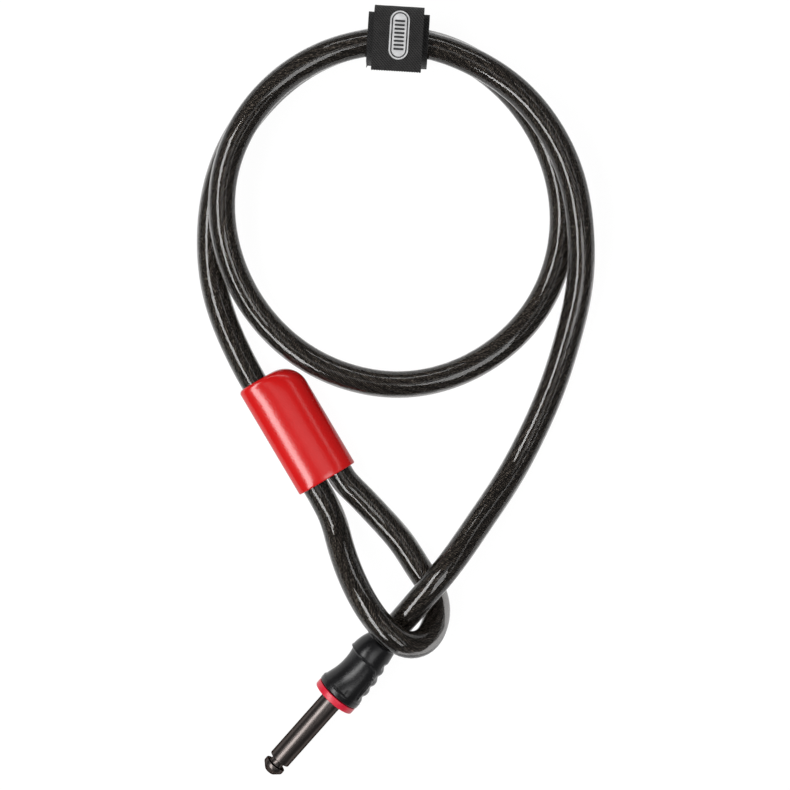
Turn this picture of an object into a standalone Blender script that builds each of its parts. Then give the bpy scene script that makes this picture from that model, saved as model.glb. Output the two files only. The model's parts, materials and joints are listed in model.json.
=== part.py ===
"""Loop cable with a plug-in locking pin, coiled for storage in a hook-and-loop strap.

Metres, +Z up. The coil lies on the plane z = 0, and the origin is on that plane, midway
between the strap at +Y and the pin's tip at -Y. A jacketed wire rope ends in an eye, whose
two legs are crimped together in an oval ferrule under a vinyl sleeve. The other end runs
through the eye into a moulded plug, whose steel pin turns on its own axis.
"""

import math

import bpy
import bmesh
import numpy as np
from mathutils import Euler, Matrix, Vector

# Driving dimensions
GAP = 0.0003
ROUND_STEPS = 40

CABLE_DIAMETER = 0.012
CABLE_SPACING = 0.020
EYE_SPACING = 0.008
LEG_PITCH = 0.0123
STRAIGHT_END = 0.0035

FERRULE_LENGTH = 0.0485
FERRULE_WALL = 0.0012
DEAD_END_SETBACK = 0.0050
CRIMPED_SHARE = 0.90
SLEEVE_WALL = 0.0009
SLEEVE_END = 0.0040
SLEEVE_LIP = 0.0005
SLEEVE_SHOULDER = 0.0110
SLEEVE_CORNER = 0.0030
SLEEVE_EDGE = 0.0005

PIN_DIAMETER = 0.0100
PIN_REACH = 0.0388
GROOVE_DIAMETER = 0.0062
GROOVE_LENGTH = 0.0025
HEAD_LENGTH = 0.0020
HEAD_CHAMFER = 0.0027
PIN_EDGE = 0.0004
STEM_DIAMETER = 0.0062
RUNNING_CLEARANCE = 0.0003

RING_DIAMETER = 0.0204
RING_THICKNESS = 0.0031
WASHER_THICKNESS = 0.0008
SOCKET_WEB = 0.0030
SOCKET_CHAMBER = 0.0060
SOCKET_WALL = 0.0014
SOCKET_LENGTH = 0.0190
ROPE_DIAMETER = 0.0074
CLIP_THICKNESS = 0.0008
CLIP_DEPTH = 0.0010
CLIP_MOUTH = math.radians(50)

BOOT_RIM_DIAMETER = 0.0209
BOOT_RIM_LENGTH = 0.0027
BOOT_WAIST_DIAMETER = 0.0164
BOOT_COLLAR_DIAMETER = 0.0190
BOOT_MOUTH_DIAMETER = 0.0156
BOOT_LENGTH = 0.0300
BOOT_COLLAR_LENGTH = 0.0095
BOOT_NECK_LENGTH = 0.0045
BOOT_MOUTH_EDGE = 0.0008
BOOT_STEP = 0.0004
WAIST_SHARES = (0.06, 0.25, 0.5, 0.75, 0.94)
RIB_COUNT = 4
RIB_DEPTH = 0.0008
RIB_HALF_WIDTH = 0.0055
RIB_LEAD = 0.0030

WEBBING = 0.0012
WEBBING_EDGE = 0.0003
BAND_WIDTH = 0.0270
BAND_CORNERS = (0.0070, 0.0070, 0.0032, 0.0060)
LEAST_CORNER = 0.0005
FLAP_WIDTH = 0.0218
BAND_DEPTH = 0.0231
FLAP_OVERHANG = 0.0042
HOOK_TAPE = 0.0007
HOOK_START = 0.0055
HOOK_END_MARGIN = 0.0018
HOOK_SIDE_MARGIN = 0.0006
BADGE_LENGTH = 0.0214
BADGE_WIDTH = 0.0086
BADGE_OFFSET = 0.0005
BADGE_THICKNESS = 0.0007

# Finishes: colour, roughness, metallic
FINISHES = {
    "jacket": ((0.05, 0.045, 0.04), 0.12, 0.0),
    "crimped_jacket": ((0.05, 0.045, 0.04), 0.4, 0.0),
    "wire_rope": ((0.38, 0.36, 0.33), 0.45, 1.0),
    "aluminium": ((0.75, 0.75, 0.76), 0.35, 1.0),
    "red_vinyl": ((0.72, 0.01, 0.015), 0.18, 0.0),
    "black_nickel": ((0.10, 0.09, 0.085), 0.22, 1.0),
    "spring_steel": ((0.35, 0.35, 0.36), 0.35, 1.0),
    "socket_steel": ((0.55, 0.55, 0.56), 0.4, 1.0),
    "bronze": ((0.55, 0.38, 0.18), 0.4, 1.0),
    "boot_plastic": ((0.022, 0.022, 0.024), 0.42, 0.0),
    "ring_red": ((0.75, 0.015, 0.04), 0.35, 0.0),
    "webbing": ((0.02, 0.02, 0.021), 0.85, 0.0),
    "hook_tape": ((0.015, 0.015, 0.016), 0.7, 0.0),
    "badge_silver": ((0.62, 0.62, 0.64), 0.3, 1.0),
}

# Places
SLEEVE_PLACE = (-0.0032, -0.0375)
SLEEVE_TURN = math.radians(30.6)
PLUG_PLACE = (0.0007, -0.1339)
PLUG_TURN = math.radians(48.9)
STRAP_PLACE = (0.0283, 0.1565)
STRAP_TURN = math.radians(-3.5)
LOWER_TURN_Z = 0.0075
UPPER_TURN_Z = 0.0201

# The cable's route between its fittings: two loose turns, then down to the plug.
RUN_ROUTE = [
    (-0.0440, 0.0210, 0.0075),
    (-0.0530, 0.0455, 0.0065),
    (-0.0555, 0.0685, 0.0060),
    (-0.0530, 0.0915, 0.0060),
    (-0.0450, 0.1130, 0.0060),
    (-0.0315, 0.1315, 0.0060),
    (-0.0135, 0.1465, 0.0062),
    (0.0075, 0.1555, 0.0070),
    (0.0305, 0.1580, 0.0075),
    (0.0530, 0.1530, 0.0070),
    (0.0725, 0.1410, 0.0061),
    (0.0880, 0.1235, 0.0060),
    (0.0980, 0.1030, 0.0060),
    (0.1020, 0.0800, 0.0060),
    (0.0990, 0.0575, 0.0060),
    (0.0890, 0.0365, 0.0060),
    (0.0730, 0.0200, 0.0060),
    (0.0530, 0.0090, 0.0060),
    (0.0300, 0.0045, 0.0060),
    (0.0075, 0.0075, 0.0060),
    (-0.0135, 0.0170, 0.0061),
    (-0.0310, 0.0325, 0.0072),
    (-0.0430, 0.0520, 0.0125),
    (-0.0490, 0.0745, 0.0170),
    (-0.0480, 0.0975, 0.0186),
    (-0.0395, 0.1190, 0.0190),
    (-0.0250, 0.1365, 0.0191),
    (-0.0055, 0.1490, 0.0195),
    (0.0170, 0.1550, 0.0200),
    (0.0400, 0.1540, 0.0200),
    (0.0615, 0.1465, 0.0195),
    (0.0810, 0.1335, 0.0190),
    (0.0955, 0.1160, 0.0186),
    (0.1050, 0.0950, 0.0179),
    (0.1090, 0.0720, 0.0162),
    (0.1090, 0.0490, 0.0110),
    (0.1045, 0.0265, 0.0070),
    (0.0975, 0.0040, 0.0060),
    (0.0885, -0.0170, 0.0060),
    (0.0775, -0.0375, 0.0070),
    (0.0645, -0.0565, 0.0126),
    (0.0510, -0.0750, 0.0190),
    (0.0360, -0.0930, 0.0178),
]
# The eye's route: out of the sleeve, up over the running cable, round and back under it.
EYE_ROUTE = [
    (-0.0050, -0.0466, 0.0083),
    (-0.0008, -0.0550, 0.0098),
    (0.0026, -0.0660, 0.0135),
    (0.0076, -0.0795, 0.0200),
    (0.0143, -0.0920, 0.0260),
    (0.0230, -0.1030, 0.0286),
    (0.0315, -0.1090, 0.0270),
    (0.0395, -0.1085, 0.0210),
    (0.0445, -0.1020, 0.0135),
    (0.0455, -0.0940, 0.0076),
    (0.0430, -0.0860, 0.0060),
    (0.0385, -0.0790, 0.0060),
    (0.0304, -0.0666, 0.0060),
    (0.0200, -0.0545, 0.0063),
    (0.0096, -0.0436, 0.0076),
]

# Worked out from the driving dimensions
CABLE_RADIUS = CABLE_DIAMETER / 2
CRIMPED_RADIUS = CABLE_RADIUS * CRIMPED_SHARE
FERRULE_BORE = CRIMPED_RADIUS + GAP
FERRULE_RADIUS = FERRULE_BORE + FERRULE_WALL
SLEEVE_POCKET = FERRULE_RADIUS + GAP
SLEEVE_RADIUS = SLEEVE_POCKET + SLEEVE_WALL
CABLE_HOLE = CABLE_RADIUS + GAP
SLEEVE_TOP = SLEEVE_LIP + FERRULE_LENGTH + GAP + SLEEVE_END

PIN_RADIUS = PIN_DIAMETER / 2
STEM_RADIUS = STEM_DIAMETER / 2
PIN_HEAD_TOP = -PIN_REACH - GROOVE_LENGTH
PIN_HEAD_BASE = PIN_HEAD_TOP - HEAD_LENGTH
PIN_TIP = PIN_HEAD_BASE - HEAD_CHAMFER
PIN_SHOULDER = RING_THICKNESS / 2 - GAP
WASHER_BASE = PIN_SHOULDER + RUNNING_CLEARANCE + GAP
SOCKET_BASE = WASHER_BASE + WASHER_THICKNESS + GAP
CHAMBER_BASE = SOCKET_BASE + SOCKET_WEB
CLIP_BASE = CHAMBER_BASE + RUNNING_CLEARANCE
STEM_TOP = CLIP_BASE + CLIP_THICKNESS + GAP + CLIP_DEPTH
CHAMBER_TOP = CHAMBER_BASE + SOCKET_CHAMBER
SOCKET_TOP = SOCKET_BASE + SOCKET_LENGTH
CHAMBER_RADIUS = STEM_RADIUS + 2 * CLIP_DEPTH + GAP
ROPE_BORE = ROPE_DIAMETER / 2 + GAP
SOCKET_RADIUS = max(CHAMBER_RADIUS, ROPE_BORE) + SOCKET_WALL
BOOT_BASE = RING_THICKNESS / 2 + GAP
BOOT_TOP = BOOT_BASE + BOOT_LENGTH
BOOT_POCKET = SOCKET_RADIUS + GAP
JACKET_END = SOCKET_TOP + GAP
PLUG_TILT = math.atan2(BOOT_RIM_DIAMETER / 2 - PIN_RADIUS, BOOT_BASE - PIN_HEAD_BASE)
PLUG_Z = BOOT_RIM_DIAMETER / 2 * math.cos(PLUG_TILT) - BOOT_BASE * math.sin(PLUG_TILT)

BAND_BASE = LOWER_TURN_Z - CABLE_RADIUS - GAP - WEBBING
BAND_HEIGHT = UPPER_TURN_Z + CABLE_RADIUS + GAP + WEBBING - BAND_BASE
HOOK_BASE = BAND_BASE + BAND_HEIGHT + GAP
FLAP_BASE = HOOK_BASE + HOOK_TAPE + GAP
FLAP_MIDDLE = FLAP_BASE + WEBBING / 2
BADGE_BASE = FLAP_BASE + WEBBING + GAP
TAIL_INNER = BAND_DEPTH / 2 + GAP
FOLD_Y = TAIL_INNER + WEBBING / 2


def clear_scene():
    for obj in list(bpy.data.objects):
        bpy.data.objects.remove(obj, do_unlink=True)


def new_collection(name):
    collection = bpy.data.collections.new(name)
    bpy.context.scene.collection.children.link(collection)
    return collection


def finish(name):
    """The named material, which is made at its first use."""
    if name in bpy.data.materials:
        return bpy.data.materials[name]
    color, roughness, metallic = FINISHES[name]
    made = bpy.data.materials.new(name)
    made.use_nodes = True
    shader = made.node_tree.nodes["Principled BSDF"]
    shader.inputs["Base Color"].default_value = (*color, 1.0)
    shader.inputs["Roughness"].default_value = roughness
    shader.inputs["Metallic"].default_value = metallic
    made.diffuse_color = (*color, 1.0)
    return made


def frame_empty(name, location, rotation):
    empty = bpy.data.objects.new(name, None)
    empty.location = location
    empty.rotation_euler = rotation
    PARTS.objects.link(empty)
    return empty


def place(obj, parent, paint=None, collection=None):
    """Links the object under its frame and gives it its material."""
    (collection or PARTS).objects.link(obj)
    obj.parent = parent
    if paint:
        obj.data.materials.append(paint)
    return obj


def as_cutter(obj):
    obj.hide_render = True
    obj.display_type = "WIRE"
    return obj


def smooth_sides(mesh, angle=math.radians(35)):
    mesh.shade_smooth()
    mesh.set_sharp_from_angle(angle=angle)


def profile_mesh(name, profile, closed):
    """A turned shape's outline at +X, from its top down its outer side."""
    mesh = bpy.data.meshes.new(name)
    points = [(radius, 0.0, height) for height, radius in profile]
    edges = [(i, i + 1) for i in range(len(points) - 1)]
    if closed:
        edges.append((len(points) - 1, 0))
    mesh.from_pydata(points, edges, [])
    return mesh


def turned(name, profile, parent, paint=None, closed=False, collection=None):
    """A solid turned about its frame's Z axis. The profile is (height, radius) pairs."""
    obj = bpy.data.objects.new(name, profile_mesh(name, profile, closed))
    place(obj, parent, paint, collection)
    screw = obj.modifiers.new("turn", "SCREW")
    screw.axis = "Z"
    screw.steps = ROUND_STEPS
    screw.render_steps = ROUND_STEPS
    screw.use_merge_vertices = True
    screw.merge_threshold = 0.00001
    screw.use_smooth_shade = True
    return obj


def cylinder(name, radius, length, location, rotation, parent, paint=None, collection=None):
    mesh = bpy.data.meshes.new(name)
    shape = bmesh.new()
    bmesh.ops.create_cone(
        shape,
        cap_ends=True,
        segments=ROUND_STEPS,
        radius1=radius,
        radius2=radius,
        depth=length,
    )
    shape.to_mesh(mesh)
    shape.free()
    smooth_sides(mesh)
    obj = bpy.data.objects.new(name, mesh)
    obj.location = location
    obj.rotation_euler = rotation
    return place(obj, parent, paint, collection)


def box(name, size, location, parent, paint=None, collection=None):
    mesh = bpy.data.meshes.new(name)
    shape = bmesh.new()
    bmesh.ops.create_cube(shape, size=1.0, matrix=Matrix.Diagonal((*size, 1.0)))
    shape.to_mesh(mesh)
    shape.free()
    obj = bpy.data.objects.new(name, mesh)
    obj.location = location
    return place(obj, parent, paint, collection)


def arc(centre, radius, start, end, steps):
    """Points on an arc in the plane, both ends included, angles in radians."""
    angles = [start + (end - start) * i / steps for i in range(steps + 1)]
    return [(centre[0] + radius * math.cos(a), centre[1] + radius * math.sin(a)) for a in angles]


def stadium(half_pitch, radius, steps=16):
    right = arc((half_pitch, 0.0), radius, -math.pi / 2, math.pi / 2, steps)
    left = arc((-half_pitch, 0.0), radius, math.pi / 2, 1.5 * math.pi, steps)
    return right + left


def rounded(corners, steps=8):
    """An anticlockwise outline of right-angled corners, each (x, y, radius)."""
    outline = []
    for i, (x, y, radius) in enumerate(corners):
        before = Vector(corners[i - 1][:2]) - Vector((x, y))
        after = Vector(corners[(i + 1) % len(corners)][:2]) - Vector((x, y))
        middle = Vector((x, y)) + (before.normalized() + after.normalized()) * radius
        start = math.atan2(-after.y, -after.x)
        outline += arc(middle, radius, start, start + math.pi / 2, steps)
    return outline


def prism(name, outlines, height, location, rotation, parent, paint=None, collection=None):
    """A flat outline, or an outline with holes, made into a solid of that height.

    Its outline is centred on location, and the height runs along the turned Z axis.
    """
    curve = bpy.data.curves.new(name, "CURVE")
    curve.dimensions = "2D"
    curve.fill_mode = "BOTH"
    curve.extrude = height / 2
    for outline in outlines:
        spline = curve.splines.new("POLY")
        spline.points.add(len(outline) - 1)
        for point, (x, y) in zip(spline.points, outline):
            point.co = (x, y, 0.0, 1.0)
        spline.use_cyclic_u = True
    flat = bpy.data.objects.new(name + "_outline", curve)
    bpy.context.scene.collection.objects.link(flat)
    graph = bpy.context.evaluated_depsgraph_get()
    mesh = bpy.data.meshes.new_from_object(flat.evaluated_get(graph))
    bpy.data.objects.remove(flat, do_unlink=True)
    shape = bmesh.new()
    shape.from_mesh(mesh)
    bmesh.ops.remove_doubles(shape, verts=shape.verts, dist=0.000001)
    bmesh.ops.recalc_face_normals(shape, faces=shape.faces)
    shape.to_mesh(mesh)
    shape.free()
    smooth_sides(mesh)
    mesh.name = name
    obj = bpy.data.objects.new(name, mesh)
    obj.location = location
    obj.rotation_euler = rotation
    return place(obj, parent, paint, collection)


def boolean(obj, other, operation):
    modifier = obj.modifiers.new(other.name, "BOOLEAN")
    modifier.operation = operation
    modifier.object = as_cutter(other)
    modifier.solver = "EXACT"


def smooth_curve(route, spacing):
    """Points about `spacing` apart on the natural cubic through the route's points."""
    route = np.array(route)
    chords = np.linalg.norm(np.diff(route, axis=0), axis=1)
    stations = np.concatenate([[0.0], np.cumsum(chords)])
    count = len(route)
    system = np.eye(count)
    pull = np.zeros((count, 3))
    for i in range(1, count - 1):
        before, after = chords[i - 1], chords[i]
        system[i, i - 1 : i + 2] = before, 2 * (before + after), after
        slopes = (route[i + 1] - route[i]) / after - (route[i] - route[i - 1]) / before
        pull[i] = 6 * slopes
    bend = np.linalg.solve(system, pull)

    def at(station):
        i = min(int(np.searchsorted(stations, station, side="right")) - 1, count - 2)
        h = chords[i]
        a = (stations[i + 1] - station) / h
        b = 1 - a
        bent = (a**3 - a) * bend[i] + (b**3 - b) * bend[i + 1]
        return a * route[i] + b * route[i + 1] + bent * h * h / 6

    fine = np.array([at(s) for s in np.linspace(0, stations[-1], 40 * count)])
    walked = np.concatenate([[0.0], np.cumsum(np.linalg.norm(np.diff(fine, axis=0), axis=1))])
    steps = max(2, round(walked[-1] / spacing))
    even = np.linspace(0, walked[-1], steps + 1)
    return np.column_stack([np.interp(even, walked, fine[:, k]) for k in range(3)])


def tube(name, route, spacing, paint):
    """A cable: a round tube on the smooth curve through the route."""
    curve = bpy.data.curves.new(name, "CURVE")
    curve.dimensions = "3D"
    curve.bevel_depth = CABLE_RADIUS
    curve.bevel_resolution = 4
    curve.use_fill_caps = True
    even = smooth_curve(route, spacing).tolist()
    # The stretch inside each fitting stays straight, so that the cable's end meets it square.
    points = [even[0], route[1], *even[1:-1], route[-2], even[-1]]
    spline = curve.splines.new("POLY")
    spline.points.add(len(points) - 1)
    for point, place_at in zip(spline.points, points):
        point.co = (*place_at, 1.0)
    spline.use_smooth = True
    obj = bpy.data.objects.new(name, curve)
    return place(obj, None, paint)


def build_cable(sleeve, plug):
    """The jacketed rope: the running cable and the eye, each from fitting to fitting."""
    leg = LEG_PITCH / 2
    ferrule_top = SLEEVE_LIP + FERRULE_LENGTH + GAP
    run_start = [
        in_frame(sleeve, (-leg, ferrule_top + y, SLEEVE_RADIUS)) for y in (0.0, 2 * STRAIGHT_END)
    ]
    run_end = [in_frame(plug, (0, 0, z)) for z in (BOOT_TOP + STRAIGHT_END, JACKET_END)]
    tube("cable_run", run_start + RUN_ROUTE + run_end, CABLE_SPACING, finish("jacket"))
    throat = SLEEVE_LIP - GAP
    eye_start = [in_frame(sleeve, (-leg, throat - y, SLEEVE_RADIUS)) for y in (0.0, STRAIGHT_END)]
    eye_end = [in_frame(sleeve, (leg, throat - y, SLEEVE_RADIUS)) for y in (STRAIGHT_END, 0.0)]
    tube("cable_eye", eye_start + EYE_ROUTE + eye_end, EYE_SPACING, finish("jacket"))


def in_frame(frame, point):
    matrix = Matrix.LocRotScale(frame.location, frame.rotation_euler, None)
    return tuple(matrix @ Vector(point))


def shoulder_outline(name, half, inset, sleeve, trimmed):
    """Trims a piece in plan to the sleeve's rounded shoulder, that much inside it."""
    side = half - inset
    end = SLEEVE_TOP - inset
    plan = rounded(
        [
            (-side, -SLEEVE_TOP, SLEEVE_EDGE),
            (side, -SLEEVE_TOP, SLEEVE_EDGE),
            (side, end, SLEEVE_SHOULDER - inset),
            (-side, end, SLEEVE_CORNER - inset),
        ]
    )
    outline = prism(
        name, [plan], 4 * SLEEVE_RADIUS, (0, 0, SLEEVE_RADIUS), (0, 0, 0), sleeve, None, CUTTERS
    )
    boolean(trimmed, outline, "INTERSECT")


def build_eye_fittings(sleeve):
    """The crimp at the eye's throat. The frame's Y runs from the eye to the long cable."""
    leg = LEG_PITCH / 2
    half = leg + SLEEVE_RADIUS
    axis = (math.radians(90), 0.0, 0.0)
    middle = SLEEVE_LIP + FERRULE_LENGTH / 2
    ferrule = prism(
        "eye_ferrule",
        [stadium(leg, FERRULE_RADIUS)],
        FERRULE_LENGTH,
        (0, middle, SLEEVE_RADIUS),
        axis,
        sleeve,
        finish("aluminium"),
    )
    # The far corner follows the sleeve's shoulder, so the dead end stops short of it.
    shoulder_outline("ferrule_outline", half, SLEEVE_WALL + GAP, sleeve, ferrule)
    for name, x, setback in (
        ("cable_through_ferrule", -leg, 0.0),
        ("cable_dead_end", leg, DEAD_END_SETBACK),
    ):
        length = FERRULE_LENGTH - setback
        bore_top = SLEEVE_LIP + length + (GAP if setback else FERRULE_LENGTH)
        bore = cylinder(
            name + "_bore",
            FERRULE_BORE,
            2 * bore_top,
            (x, 0, SLEEVE_RADIUS),
            axis,
            sleeve,
            None,
            CUTTERS,
        )
        boolean(ferrule, bore, "DIFFERENCE")
        place_at = (x, SLEEVE_LIP + length / 2, SLEEVE_RADIUS)
        cylinder(name, CRIMPED_RADIUS, length, place_at, axis, sleeve, finish("crimped_jacket"))

    cover = prism(
        "sleeve_cover",
        [stadium(leg, SLEEVE_RADIUS)],
        SLEEVE_TOP,
        (0, SLEEVE_TOP / 2, SLEEVE_RADIUS),
        axis,
        sleeve,
        finish("red_vinyl"),
    )
    shoulder_outline("sleeve_outline", half, 0.0, sleeve, cover)
    pocket_length = SLEEVE_LIP + FERRULE_LENGTH + GAP
    pocket = prism(
        "sleeve_pocket",
        [stadium(leg, SLEEVE_POCKET)],
        2 * pocket_length,
        (0, 0, SLEEVE_RADIUS),
        axis,
        sleeve,
        None,
        CUTTERS,
    )
    shoulder_outline("pocket_outline", half, SLEEVE_WALL, sleeve, pocket)
    boolean(cover, pocket, "DIFFERENCE")
    hole = cylinder(
        "sleeve_cable_hole",
        CABLE_HOLE,
        4 * SLEEVE_END,
        (-leg, SLEEVE_TOP, SLEEVE_RADIUS),
        axis,
        sleeve,
        None,
        CUTTERS,
    )
    boolean(cover, hole, "DIFFERENCE")


def build_pin(pin):
    """The locking pin and what turns with it, about the frame's Z axis."""
    groove = GROOVE_DIAMETER / 2
    clip_seat = STEM_RADIUS - CLIP_DEPTH
    clip_floor = CLIP_BASE - GAP
    clip_ceiling = CLIP_BASE + CLIP_THICKNESS + GAP
    turned(
        "lock_pin",
        [
            (STEM_TOP, 0.0),
            (STEM_TOP, STEM_RADIUS),
            (clip_ceiling, STEM_RADIUS),
            (clip_ceiling, clip_seat),
            (clip_floor, clip_seat),
            (clip_floor, STEM_RADIUS),
            (PIN_SHOULDER, STEM_RADIUS),
            (PIN_SHOULDER, PIN_RADIUS),
            (-PIN_REACH + PIN_EDGE, PIN_RADIUS),
            (-PIN_REACH, PIN_RADIUS - PIN_EDGE),
            (-PIN_REACH, groove),
            (PIN_HEAD_TOP, groove),
            (PIN_HEAD_TOP, PIN_RADIUS - PIN_EDGE),
            (PIN_HEAD_TOP - PIN_EDGE, PIN_RADIUS),
            (PIN_HEAD_BASE, PIN_RADIUS),
            (PIN_TIP, PIN_RADIUS - HEAD_CHAMFER),
            (PIN_TIP, 0.0),
        ],
        pin,
        finish("black_nickel"),
    )
    turned(
        "thrust_washer",
        ring_profile(WASHER_BASE, WASHER_THICKNESS, STEM_RADIUS + RUNNING_CLEARANCE, SOCKET_RADIUS - GAP),
        pin,
        finish("bronze"),
        closed=True,
    )
    turn = 2 * math.pi - CLIP_MOUTH
    start = CLIP_MOUTH / 2
    clip_outline = arc((0, 0), STEM_RADIUS + CLIP_DEPTH, start, start + turn, ROUND_STEPS)
    clip_outline += arc((0, 0), clip_seat + GAP, start + turn, start, ROUND_STEPS)
    prism(
        "pin_circlip",
        [clip_outline],
        CLIP_THICKNESS,
        (0, 0, CLIP_BASE + CLIP_THICKNESS / 2),
        (0, 0, 0),
        pin,
        finish("spring_steel"),
    )


def ring_profile(base, thickness, inner, outer):
    top = base + thickness
    return [(top, inner), (top, outer), (base, outer), (base, inner)]


def build_plug(plug):
    """The socket swaged on the rope, and the boot and ring moulded round it."""
    turned(
        "rope_socket",
        [
            (SOCKET_TOP, ROPE_BORE),
            (SOCKET_TOP, SOCKET_RADIUS),
            (SOCKET_BASE, SOCKET_RADIUS),
            (SOCKET_BASE, STEM_RADIUS + RUNNING_CLEARANCE),
            (CHAMBER_BASE, STEM_RADIUS + RUNNING_CLEARANCE),
            (CHAMBER_BASE, CHAMBER_RADIUS),
            (CHAMBER_TOP, CHAMBER_RADIUS),
            (CHAMBER_TOP, ROPE_BORE),
        ],
        plug,
        finish("socket_steel"),
        closed=True,
    )
    rope_length = SOCKET_TOP - CHAMBER_TOP
    cylinder(
        "rope_core",
        ROPE_DIAMETER / 2,
        rope_length,
        (0, 0, CHAMBER_TOP + rope_length / 2),
        (0, 0, 0),
        plug,
        finish("wire_rope"),
    )
    turned(
        "boot_ring",
        ring_profile(
            -RING_THICKNESS / 2, RING_THICKNESS, PIN_RADIUS + RUNNING_CLEARANCE, RING_DIAMETER / 2
        ),
        plug,
        finish("ring_red"),
        closed=True,
    )
    rim_top = BOOT_BASE + BOOT_RIM_LENGTH
    collar_base = BOOT_TOP - BOOT_COLLAR_LENGTH
    collar_top = BOOT_TOP - BOOT_NECK_LENGTH
    waist_middle = (rim_top + collar_base) / 2
    rim = BOOT_RIM_DIAMETER / 2
    collar = BOOT_COLLAR_DIAMETER / 2
    waist = []
    for share in WAIST_SHARES:
        height = collar_base + (rim_top - collar_base) * share
        end = collar if height > waist_middle else rim - BOOT_STEP
        depth = end - BOOT_WAIST_DIAMETER / 2
        reach = (height - waist_middle) / (collar_base - waist_middle)
        waist.append((height, BOOT_WAIST_DIAMETER / 2 + depth * reach * reach))
    boot = turned(
        "boot",
        [
            (BOOT_TOP, CABLE_HOLE),
            (BOOT_TOP, BOOT_MOUTH_DIAMETER / 2 - BOOT_MOUTH_EDGE),
            (BOOT_TOP - BOOT_MOUTH_EDGE, BOOT_MOUTH_DIAMETER / 2),
            (collar_top, collar - BOOT_STEP),
            (collar_base, collar),
            *waist,
            (rim_top, rim),
            (BOOT_BASE, rim),
            (BOOT_BASE, BOOT_POCKET),
            (JACKET_END, BOOT_POCKET),
            (JACKET_END, CABLE_HOLE),
        ],
        plug,
        finish("boot_plastic"),
        closed=True,
    )
    rib_pitch = (collar_base - rim_top) / RIB_COUNT
    grip_inner = BOOT_POCKET + GAP
    outer = []
    for i in range(RIB_COUNT * 4 + 1):
        height = collar_base + RIB_LEAD - rib_pitch * i / 4
        reach = (collar_base - height) / (collar_base - rim_top)
        base = collar - BOOT_STEP / 2 + (rim - collar) * max(reach, 0.0)
        outer.append((height, base - RIB_DEPTH * (1 + math.cos(math.pi * i / 2)) / 2))
    ribs = turned(
        "grip_rib_blank",
        [(outer[0][0], grip_inner), *outer, (outer[-1][0], grip_inner)],
        plug,
        closed=True,
        collection=CUTTERS,
    )
    side = box(
        "grip_side",
        (2 * RIB_HALF_WIDTH, 2 * rim, 2 * BOOT_LENGTH),
        (0, -rim, waist_middle),
        plug,
        None,
        CUTTERS,
    )
    boolean(ribs, side, "INTERSECT")
    boolean(boot, ribs, "UNION")


def build_strap(strap):
    """The webbing round both turns. The frame's X lies along the cable, and Y points outwards."""
    across = (math.radians(90), 0.0, math.radians(90))
    half = BAND_DEPTH / 2
    top = BAND_BASE + BAND_HEIGHT

    def loop(inset):
        corners = [
            (-half + inset, BAND_BASE + inset),
            (half - inset, BAND_BASE + inset),
            (half - inset, top - inset),
            (-half + inset, top - inset),
        ]
        return rounded([(y, z, max(r - inset, LEAST_CORNER)) for (y, z), r in zip(corners, BAND_CORNERS)])

    band = [loop(0.0), loop(WEBBING)]
    prism("strap_band", band, BAND_WIDTH, (0, 0, 0), across, strap, finish("webbing"))
    tail_top = FLAP_MIDDLE - WEBBING
    tail_base = BAND_BASE + BAND_CORNERS[1]
    tail = rounded(
        [
            (TAIL_INNER, tail_base, WEBBING_EDGE),
            (TAIL_INNER + WEBBING, tail_base, WEBBING_EDGE),
            (TAIL_INNER + WEBBING, tail_top, WEBBING_EDGE),
            (TAIL_INNER, tail_top, WEBBING_EDGE),
        ],
        steps=3,
    )
    prism("strap_tail", [tail], FLAP_WIDTH, (0, 0, 0), across, strap, finish("webbing"))


def build_flap(fold):
    """The flap that peels open about the fold. The frame's origin is on the fold."""
    across = (math.radians(90), 0.0, math.radians(90))
    free_end = -FOLD_Y - BAND_DEPTH / 2 - FLAP_OVERHANG
    half = WEBBING / 2
    fold_end = half - GAP
    flap = rounded(
        [
            (free_end, -half, WEBBING_EDGE),
            (fold_end, -half, WEBBING_EDGE),
            (fold_end, half, WEBBING_EDGE),
            (free_end, half, WEBBING_EDGE),
        ],
        steps=3,
    )
    prism("strap_flap", [flap], FLAP_WIDTH, (0, 0, 0), across, fold, finish("webbing"))
    hook_end = free_end + HOOK_END_MARGIN
    hook_middle = (hook_end - HOOK_START) / 2
    box(
        "strap_hook_tape",
        (FLAP_WIDTH - 2 * HOOK_SIDE_MARGIN, -HOOK_START - hook_end, HOOK_TAPE),
        (0, hook_middle, HOOK_BASE + HOOK_TAPE / 2 - FLAP_MIDDLE),
        fold,
        finish("hook_tape"),
    )
    radius = BADGE_WIDTH / 2
    prism(
        "strap_badge",
        [stadium(BADGE_LENGTH / 2 - radius, radius, steps=12)],
        BADGE_THICKNESS,
        (BADGE_OFFSET, -FOLD_Y, BADGE_BASE + BADGE_THICKNESS / 2 - FLAP_MIDDLE),
        (0.0, 0.0, math.radians(90)),
        fold,
        finish("badge_silver"),
    )


def build():
    sleeve = frame_empty("sleeve_frame", (*SLEEVE_PLACE, 0.0), (0.0, 0.0, SLEEVE_TURN))
    plug_turn = Euler((0.0, math.pi / 2 - PLUG_TILT, PLUG_TURN), "XYZ")
    plug = frame_empty("plug_frame", (*PLUG_PLACE, PLUG_Z), plug_turn)
    pin = frame_empty("pin_frame", (*PLUG_PLACE, PLUG_Z), plug_turn)
    strap = frame_empty("strap_frame", (*STRAP_PLACE, 0.0), (0.0, 0.0, STRAP_TURN))
    fold_at = in_frame(strap, (0.0, FOLD_Y, FLAP_MIDDLE))
    fold = frame_empty("fold_frame", fold_at, (0.0, 0.0, STRAP_TURN))
    build_cable(sleeve, plug)
    build_eye_fittings(sleeve)
    build_pin(pin)
    build_plug(plug)
    build_strap(strap)
    build_flap(fold)


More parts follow.
